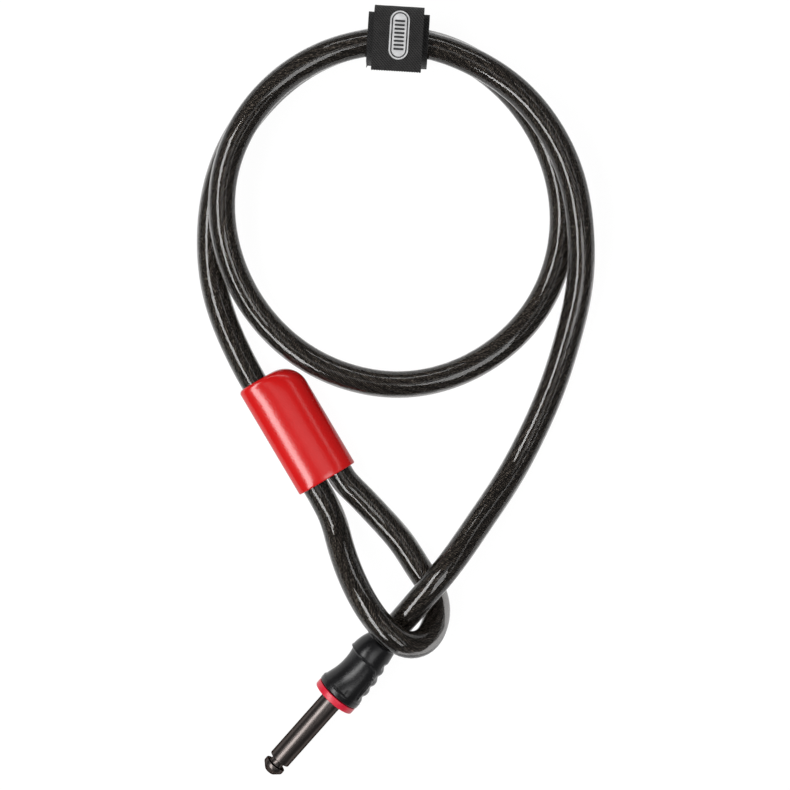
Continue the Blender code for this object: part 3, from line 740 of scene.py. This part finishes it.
jacketed_rope("run_jacket", run_route, "cable_run")
jacketed_rope("eye_jacket", eye_route, "cable_eye")

# ---------------------------------------------------------------- the sleeve over the crimp

SLEEVE_SIDES = 72
SLEEVE_LENGTH = 0.0533
SLEEVE_HALF = 0.01425
SLEEVE_ROUNDNESS = 2.15
SLEEVE_SHOULDER = 0.0110
SLEEVE_CORNER = 0.0018
SLEEVE_CROWN = 0.0022
SLEEVE_MOUTH = 0.0062
SLEEVE_THROAT = 0.0061
POCKET_RADIUS = 0.0072
POCKET_ARC = 0.0101
POCKET_ROUNDNESS = 2.6


def oval_section(centre, half, height, power):
    """A squared oval, as a function from a share of the turn to its place across the sleeve."""

    def spot(share):
        c, s = math.cos(FULL_TURN * share), math.sin(FULL_TURN * share)
        x = math.copysign(abs(c) ** (2 / power), c)
        z = math.copysign(abs(s) ** (2 / power), s)
        return centre + half * x, height * z

    return spot


def grown_ring(shape, ring, edges):
    """Extrudes a ring of edges, and gives the new ring's vertices in the same order."""
    grown = bmesh.ops.extrude_edge_only(shape, edges=edges)["geom"]
    fresh = {part for part in grown if isinstance(part, bmesh.types.BMVert)} - set(ring)
    edges = [
        part
        for part in grown
        if isinstance(part, bmesh.types.BMEdge) and all(vert in fresh for vert in part.verts)
    ]
    ahead = []
    for vert in ring:
        others = [edge.other_vert(vert) for edge in vert.link_edges]
        ahead.append(next(other for other in others if other in fresh))
    return ahead, edges


def ringed(name, sections):
    """A closed mesh through rings along the sleeve, the last of them joined to the first."""
    shape = bmesh.new()
    ring = bmesh.ops.create_circle(shape, segments=SLEEVE_SIDES, radius=1.0)["verts"]
    edges = list(shape.edges)
    for i, (y, spot) in enumerate(sections):
        if i:
            ring, edges = grown_ring(shape, ring, edges)
        for k, vert in enumerate(ring):
            x, z = spot(k / SLEEVE_SIDES)
            vert.co = (x, y, z + SLEEVE_AXIS_Z)
    bmesh.ops.bridge_loops(shape, edges=[e for e in shape.edges if e.is_boundary])
    bmesh.ops.recalc_face_normals(shape, faces=shape.faces)
    return settled(name, shape, SLEEVE)


def oval_between(left, right, height, power):
    """A squared oval that reaches from left to right."""
    return oval_section((left + right) / 2, (right - left) / 2, height, power)


def build_sleeve():
    """The dipped vinyl cover: an oval tube that closes round the long cable at one end."""
    sections = []
    for y, less in ((0.0, 0.35), (0.0002, 0.12), (0.0006, 0.0)):
        half, height = SLEEVE_HALF - less * MM, SLEEVE_AXIS_Z - less * MM
        sections.append((y, oval_section(0, half, height, SLEEVE_ROUNDNESS)))
    barrel = oval_section(0, SLEEVE_HALF, SLEEVE_AXIS_Z, SLEEVE_ROUNDNESS)
    sections += [(y, barrel) for y in np.linspace(0.003, SLEEVE_LENGTH - SLEEVE_SHOULDER, 14)]
    for step in range(1, 15):
        turn = math.pi / 2 * step / 14
        y = SLEEVE_LENGTH - SLEEVE_SHOULDER + SLEEVE_SHOULDER * math.sin(turn)
        right = SLEEVE_HALF - SLEEVE_SHOULDER * (1 - math.cos(turn))
        past = max(0.0, y - (SLEEVE_LENGTH - SLEEVE_CORNER)) / SLEEVE_CORNER
        left = -SLEEVE_HALF + SLEEVE_CORNER * (1 - math.sqrt(max(0.0, 1 - past * past)))
        over = max(0.0, y - (SLEEVE_LENGTH - SLEEVE_CROWN)) / SLEEVE_CROWN
        fall = 1 - math.sqrt(max(0.0, 1 - over * over))
        height = SLEEVE_AXIS_Z - (SLEEVE_AXIS_Z - SLEEVE_MOUTH - 0.0002) * fall
        sections.append((y, oval_between(left, right, height, SLEEVE_ROUNDNESS)))
    throat = oval_section(-LEG, SLEEVE_THROAT, SLEEVE_THROAT, 2)
    sections += [
        (SLEEVE_LENGTH, oval_section(-LEG, SLEEVE_MOUTH, SLEEVE_MOUTH, 2)),
        (SLEEVE_LENGTH - 0.0006, throat),
        (FERRULE_TOP + 0.0008, throat),
    ]
    rise = FERRULE_TOP + 0.0006 - SLEEVE_LENGTH + SLEEVE_SHOULDER
    for step in range(6, -1, -1):
        y = SLEEVE_LENGTH - SLEEVE_SHOULDER + rise * step / 6
        past = y - SLEEVE_LENGTH + SLEEVE_SHOULDER
        right = SLEEVE_HALF - SLEEVE_SHOULDER + math.sqrt(POCKET_ARC**2 - past**2)
        left = -LEG - POCKET_RADIUS
        sections.append((y, oval_between(left, right, POCKET_RADIUS, POCKET_ROUNDNESS)))
    half = LEG + POCKET_RADIUS
    sections += [
        (0.0006, oval_section(0, half, POCKET_RADIUS, POCKET_ROUNDNESS)),
        (0.0002, oval_section(0, half, POCKET_RADIUS + 0.0001, POCKET_ROUNDNESS)),
    ]
    mesh = ringed("sleeve", sections)
    shown("sleeve", mesh, [RED_VINYL], "cable", ["sleeve_cover"], 50)


def figure_eight(reach, waist):
    """The outline round two bores side by side, a leg's spacing apart."""

    def spot(share):
        c, s = math.cos(FULL_TURN * share), math.sin(FULL_TURN * share)
        x = (LEG + reach) * c
        z = math.sqrt(max(0.0, reach**2 - (abs(x) - LEG) ** 2))
        return x, math.copysign(max(z, waist) if abs(x) < LEG else z, s)

    return spot


def build_ferrule():
    """The pressed ferrule, a little inside the cover's pocket, with its far corner turned down."""
    loose, bore, waist = 0.00012, 0.0059, 0.0006
    foot, shoulder, blind = 0.0006, SLEEVE_LENGTH - SLEEVE_SHOULDER, 0.0385
    half, height = LEG + POCKET_RADIUS - loose, POCKET_RADIUS - loose
    sections = [(foot, oval_section(0, half - 0.0003, height - 0.0003, POCKET_ROUNDNESS))]
    barrel = oval_section(0, half, height, POCKET_ROUNDNESS)
    sections += [(y, barrel) for y in np.linspace(foot + 0.0005, shoulder, 10)]
    for step in range(1, 8):
        y = shoulder + (FERRULE_TOP - shoulder) * step / 7
        arc = math.sqrt((POCKET_ARC - loose) ** 2 - (y - shoulder) ** 2)
        right = SLEEVE_HALF - SLEEVE_SHOULDER + arc
        left = -LEG - POCKET_RADIUS + loose
        sections.append((y, oval_between(left, right, height, POCKET_ROUNDNESS)))
    leg_bore = oval_section(-LEG, bore, bore, 2)
    both_bores = figure_eight(bore, waist)
    sections += [(FERRULE_TOP, leg_bore), (blind, leg_bore), (blind, both_bores), (foot, both_bores)]
    mesh = ringed("ferrule", sections)
    shown("ferrule", mesh, [FERRULE], "cable", ["eye_ferrule"], 50)


build_sleeve()
build_ferrule()

# ---------------------------------------------------------------- the plug's grip, ring and pin

# The grip's own sizes are in millimetres, up from the pin's swivel.
RIB_CENTRES = (7.7, 13.3, 19.0, 24.5)
RIB_PITCH = 5.65
RIB_DEPTH = 0.85
GRIP_TOP = 31.85
GRIP_FOOT = 1.85
GRIP_STEP = 0.30
GRIP_SIDES = 144
BLANK_RADIUS = 7.0
CABLE_BORE = 6.3
SOCKET_BORE = 7.1
SOCKET_BORE_TOP = 21.95
RIM_RADIUS = 10.42
RIM_TOP = 4.9
PANEL_TOP = 22.6
PANEL_SINK = 0.60
LIP_HEIGHT = 0.30
LIP_WIDTH = 0.38
UNROLLED_RADIUS = 9.0


def table_curve(pairs):
    """A smooth function through (height, radius) pairs."""
    fine = smooth_curve(pairs, 0.1)
    return lambda height: float(np.interp(height, fine[:, 0], fine[:, 1]))


SCOOP = table_curve(
    [(4.6, 9.95), (5.4, 9.75), (9.8, 8.55), (15.0, 7.95), (19.0, 8.15), (21.9, 8.75), (23.0, 9.1)]
)
COLLAR = table_curve(
    [
        (4.6, 9.9), (12.0, 9.5), (22.4, 9.55), (23.8, 9.55),
        (26.9, 9.15), (29.2, 8.55), (30.8, 7.95), (31.9, 7.5),
    ]
)
CONE = table_curve(
    [(4.6, 10.2), (11.0, 10.0), (16.8, 9.6), (21.9, 8.85), (24.0, 8.5), (27.6, 7.8), (31.9, 7.0)]
)
# The thumb panel's edge, unrolled: round from the scooped side, and up.
PANEL_EDGE = smooth_curve(
    [
        (0, 22.6), (7, 22.65), (14, 22.6), (16.4, 22.45), (18.5, 21.9), (20.2, 20.8),
        (21.5, 18.8), (22.1, 16.2), (22.3, 12.0), (22.5, 8.0), (22.6, 4.9),
    ],
    0.2,
)


def eased(value, low, high):
    """0 below low, 1 above high, and a smooth rise between them."""
    t = min(max((value - low) / (high - low), 0.0), 1.0)
    return t * t * (3 - 2 * t)


def rim_radius(height):
    """The rim round the grip's foot, with its lowest edge rounded."""
    rim = RIM_RADIUS - 0.35 * eased(height, 4.2, RIM_TOP)
    edge = max(0.0, 2.35 - height) / 0.5
    return rim - 0.5 * (1 - math.sqrt(max(0.0, 1 - edge * edge)))


def grip_radius(turn, height):
    """The grip's radius at an angle from its scooped side, 0 to pi, and a height."""
    if height < RIM_TOP:
        return rim_radius(height)
    to_ribs = eased(turn, 0.9, 2.4)
    body = COLLAR(height) * (1 - to_ribs) + CONE(height) * to_ribs
    side = eased(turn, math.radians(142), math.radians(158))
    notch = 0.0
    for centre in RIB_CENTRES:
        off = (height - centre) / RIB_PITCH
        if abs(off) < 0.5:
            notch = max(notch, math.cos(math.pi * off) ** 3)
    body -= RIB_DEPTH * side * notch
    round_at = turn * UNROLLED_RADIUS
    gap = float(np.hypot(PANEL_EDGE[:, 0] - round_at, PANEL_EDGE[:, 1] - height).min())
    border = float(np.interp(-height, -PANEL_EDGE[::-1, 1][::-1], PANEL_EDGE[::-1, 0][::-1]))
    fade = eased(height, 5.2, 9.0) if round_at > 16 else 1.0
    if height < PANEL_TOP and round_at < border:
        towards = eased(turn, 0.7, 2.45)
        panel = SCOOP(height) * (1 - towards) + (body - PANEL_SINK * fade) * towards
        sunk = eased(gap, 0.0, 0.55)
        body = body * (1 - sunk) + panel * sunk
    return body + LIP_HEIGHT * fade * math.exp(-((gap / LIP_WIDTH) ** 2))


def build_grip():
    """The moulded grip: a plain turned blank, drawn out to the grip's radius all round."""
    heights = list(np.arange(GRIP_TOP, GRIP_FOOT, -GRIP_STEP)) + [GRIP_FOOT]
    outline = [(CABLE_BORE, GRIP_TOP - 0.02)]
    outline += [(BLANK_RADIUS, h) for h in heights]
    outline += [(SOCKET_BORE, GRIP_FOOT), (SOCKET_BORE, SOCKET_BORE_TOP), (CABLE_BORE, SOCKET_BORE_TOP)]
    shape = spun([(r * MM, h * MM) for r, h in outline], GRIP_SIDES)
    for vert in shape.verts:
        radius = vert.co.xy.length * 1000
        height = vert.co.z * 1000
        if abs(radius - BLANK_RADIUS) > 0.02:
            continue
        angle = math.atan2(vert.co.y, vert.co.x)
        turn = abs((angle - math.pi / 2 + math.pi) % FULL_TURN - math.pi)
        grown = grip_radius(turn, height)
        grown -= 0.6 * eased(height, 31.2, GRIP_TOP) ** 2
        scale = grown / radius
        vert.co.x *= scale
        vert.co.y *= scale
    bmesh.ops.recalc_face_normals(shape, faces=shape.faces)
    shown("grip", settled("grip", shape, PLUG), [GRIP], "cable", ["boot"], 50)


def build_ring():
    """The red ring between the grip and the pin."""
    inner, outer, half = 5.3, 10.2, 1.55
    corners = [(inner, -half, 0.15), (outer, -half, 0.45), (outer, half, 0.45), (inner, half, 0.15)]
    shape = spun([(r * MM, h * MM) for r, h in softened(corners, 5)], 96)
    mesh = settled("red_ring", shape, PLUG)
    shown("red_ring", mesh, [RING_RED], "cable", ["boot_ring"], 50)


def build_pin():
    """The turned pin: a stem in the grip, the shank, the latch groove and the chamfered head."""
    outline = softened(
        [
            (0.0, 8.05, 0),
            (3.1, 8.05, 0.2),
            (3.1, 1.25, 0.15),
            (5.0, 1.25, 0.15),
            (5.0, -38.8, 0.45),
            (3.1, -38.8, 0.35),
            (3.1, -41.3, 0.35),
            (5.0, -41.3, 0.40),
            (5.0, -43.3, 0.45),
            (2.3, -46.0, 0.50),
            (0.0, -46.0, 0),
        ],
        5,
    )
    shape = spun([(r * MM, h * MM) for r, h in outline], 96, closed=False)
    map_round(shape)
    mesh = settled("locking_pin", shape, PLUG)
    shown("locking_pin", mesh, [PIN_FINISH], "pin", ["lock_pin"], 50)


build_grip()
build_ring()
build_pin()

# ---------------------------------------------------------------- the strap

FOLD_Y = 0.01245
FOLD_Z = 0.0295
STRAP = FOLD @ Matrix.Translation((0, -FOLD_Y, -FOLD_Z))
THICK = 0.0012
BAND_WIDTH = 0.0268
BAND_HALF = 0.01155
BAND_TOP = 0.0276
FLAP_WIDTH = 0.0218
FLAP_END = -0.0158
FOLD_RADIUS = 0.0042
ROW_SPACING = 0.0007
BADGE_SHIFT = 0.0005
BADGE_BARS = 8
BAR_PITCH = 0.00175
HOOK_ROWS = 18
HOOK_PITCH = 0.0011
HOOK_LEAN = 28


def webbing_mesh(line, width, columns, wave, closed=False, end_shape=None):
    """A sheet of webbing along a line of (out, up) points in the strap's frame."""
    line = np.array(line)
    if closed:
        line = np.vstack([line, line[:1]])
    steps = np.linalg.norm(np.diff(line, axis=0), axis=1)
    stations = np.concatenate([[0.0], np.cumsum(steps)])
    total = stations[-1]
    rows = max(8, round(total / ROW_SPACING))
    shape = bmesh.new()
    bmesh.ops.create_grid(shape, x_segments=columns, y_segments=rows, size=0.5, calc_uvs=True)
    laid = shape.loops.layers.uv.verify()
    for face in shape.faces:
        for loop in face.loops:
            loop[laid].uv = (loop.vert.co.x * width, (loop.vert.co.y + 0.5) * total)
    for vert in shape.verts:
        x, station = vert.co.x * width, (vert.co.y + 0.5) * total
        if end_shape:
            station = min(station, total) - end_shape(x) * eased(station, total - 0.0008, total)
        out = float(np.interp(station, stations, line[:, 0]))
        up = float(np.interp(station, stations, line[:, 1]))
        ripple = wave * math.sin(x * 700 + station * 190) * math.cos(station * 330 + 1.3)
        vert.co = (x, out + ripple, up + ripple)
    if closed:
        bmesh.ops.remove_doubles(shape, verts=shape.verts, dist=0.00002)
    bmesh.ops.recalc_face_normals(shape, faces=shape.faces)
    return shape


def thicken(shape, thickness):
    """Gives the webbing's sheet its thickness."""
    bmesh.ops.solidify(shape, geom=shape.faces[:], thickness=thickness)
    bmesh.ops.recalc_face_normals(shape, faces=shape.faces)


def build_band():
    """The strap's inner loop round both turns of the cable."""
    side, foot, lid = BAND_HALF - THICK / 2, THICK / 2, BAND_TOP - THICK / 2
    corners = [
        (-side, foot, 0.0095),
        (side, foot, 0.0095),
        (side, lid, 0.0050),
        (-side, lid, 0.0085),
    ]
    shape = webbing_mesh(softened(corners, 14), BAND_WIDTH, 40, 0.00006, closed=True)
    thicken(shape, THICK * 0.9)
    mesh = settled("strap_inner", shape, STRAP)
    shown("strap_inner", mesh, [BAND_WEBBING], "cable", ["strap_band"], 50)


def saw(x):
    """The free end's cut: small regular teeth."""
    return 0.00035 * abs(((x / 0.0011) % 1.0) * 2 - 1)


def build_flap():
    """The outer layer, up the band's side and round a fold over its top."""
    line = [(FOLD_Y, 0.0072), (FOLD_Y, 0.0150), (FOLD_Y, 0.0230)]
    for step in range(1, 13):
        turn = math.pi / 2 * step / 12
        out = FOLD_Y - FOLD_RADIUS * (1 - math.cos(turn))
        line.append((out, FOLD_Z - FOLD_RADIUS + FOLD_RADIUS * math.sin(turn)))
    line += [(-0.0050, FOLD_Z), (FLAP_END, FOLD_Z)]
    shape = webbing_mesh(line, FLAP_WIDTH, 60, 0.00004, end_shape=saw)
    thicken(shape, THICK * 0.85)
    mesh = settled("strap_flap_webbing", shape, STRAP)
    nodes = ["strap_tail", "strap_flap"]
    made = shown("strap_flap_webbing", mesh, [WEBBING], None, nodes, 50)
    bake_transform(made)


def stadium_face(shape, half_length, radius, height):
    """A flat stadium, its length along Y."""
    verts = bmesh.ops.create_circle(shape, cap_ends=True, segments=64, radius=radius)["verts"]
    for vert in verts:
        shift = min(1.0, abs(vert.co.y) / (radius * 0.05))
        vert.co.y += math.copysign(half_length - radius, vert.co.y) * shift
        vert.co.z = height
    return verts[0].link_faces[0]


def build_badge():
    """A silver plate in a silver rim with a gap between them whose walls and floor are painted dark as
    painted shade, and plain dark bars on it.
    """
    half_length, radius = 0.0107, 0.00430
    base = FOLD_Z + 0.0009
    place = STRAP @ Matrix.Translation((BADGE_SHIFT, 0, 0))
    shape = bmesh.new()
    face = stadium_face(shape, half_length, radius, base)
    bmesh.ops.recalc_face_normals(shape, faces=[face])
    grown = bmesh.ops.extrude_face_region(shape, geom=[face])["geom"]
    lid = [part for part in grown if isinstance(part, bmesh.types.BMFace)]
    raised_verts = [part for part in grown if isinstance(part, bmesh.types.BMVert)]
    bmesh.ops.translate(shape, verts=raised_verts, vec=(0, 0, 0.0005))
    # The insets marked dark are the groove's walls and floor, painted dark as painted shade.
    for across, up, dark in (
        (0.00012, 0.00010, False),
        (0.00058, 0.0, False),
        (0.00006, -0.00035, True),
        (0.00042, 0.0, True),
        (0.00006, 0.00030, True),
        (0.00012, 0.00008, False),
    ):
        rim = bmesh.ops.inset_region(
            shape, faces=lid, thickness=across, depth=up, use_even_offset=True
        )["faces"]
        for face in rim:
            face.material_index = int(dark)
    bmesh.ops.recalc_face_normals(shape, faces=shape.faces)
    top = max(vert.co.z for vert in shape.verts)
    mesh = settled("badge_plate", shape, place)
    shown("badge_plate", mesh, [BADGE_SILVER, BADGE_DARK_AND_GROOVE_SHADE], "flap", ["strap_badge"], 20)
    bars = bmesh.new()
    for i in range(BADGE_BARS):
        spot = (0, (i - (BADGE_BARS - 1) / 2) * BAR_PITCH, top)
        size = Matrix.Diagonal((0.0044, 0.00085, 0.00008, 1.0))
        bmesh.ops.create_cube(bars, size=1.0, matrix=Matrix.Translation(spot) @ size)
    upright = []
    for edge in bars.edges:
        if abs(edge.verts[0].co.z - edge.verts[1].co.z) > 0.00001:
            upright.append(edge)
    bmesh.ops.bevel(
        bars, geom=upright, offset=0.0003, segments=3, profile=0.5, affect="EDGES", material=-1
    )
    mesh = settled("badge_bars", bars, place)
    shown("badge_bars", mesh, [BADGE_DARK_AND_GROOVE_SHADE], "flap", (), 35)


def build_hooks():
    """The hook tape's moulded hooks: rows of small slanted posts under the flap."""
    root, middle = 0.0279 - 0.00002, -0.0035
    size = Matrix.Diagonal((0.00028, 0.00018, 0.00042, 1.0))
    shape = bmesh.new()
    for row in range(HOOK_ROWS):
        for column in range(HOOK_ROWS):
            x = (column - (HOOK_ROWS - 1) / 2) * HOOK_PITCH
            y = middle + (row - (HOOK_ROWS - 1) / 2) * HOOK_PITCH
            lean = Matrix.Rotation(math.radians(HOOK_LEAN if column % 2 else -HOOK_LEAN), 4, "X")
            place = Matrix.Translation((x, y, root)) @ lean @ size
            bmesh.ops.create_cube(shape, size=1.0, matrix=place)
    mesh = settled("hook_posts", shape, STRAP)
    shown("hook_posts", mesh, [HOOK_NYLON], "flap", (), 35)


build_band()
build_flap()
build_badge()
build_hooks()

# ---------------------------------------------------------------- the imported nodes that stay

KEPT = {
    "cable_through_ferrule": CRIMPED,
    "cable_dead_end": CRIMPED,
    "rope_socket": SOCKET_STEEL,
    "rope_core": ROPE_WIRES,
    "thrust_washer": BRONZE,
    "pin_circlip": SPRING_STEEL,
    "strap_hook_tape": HOOK_NYLON,
}
for node_name, paint in KEPT.items():
    node = frame["nodes"][node_name]
    for holder in node.material_slots:
        holder.material = paint
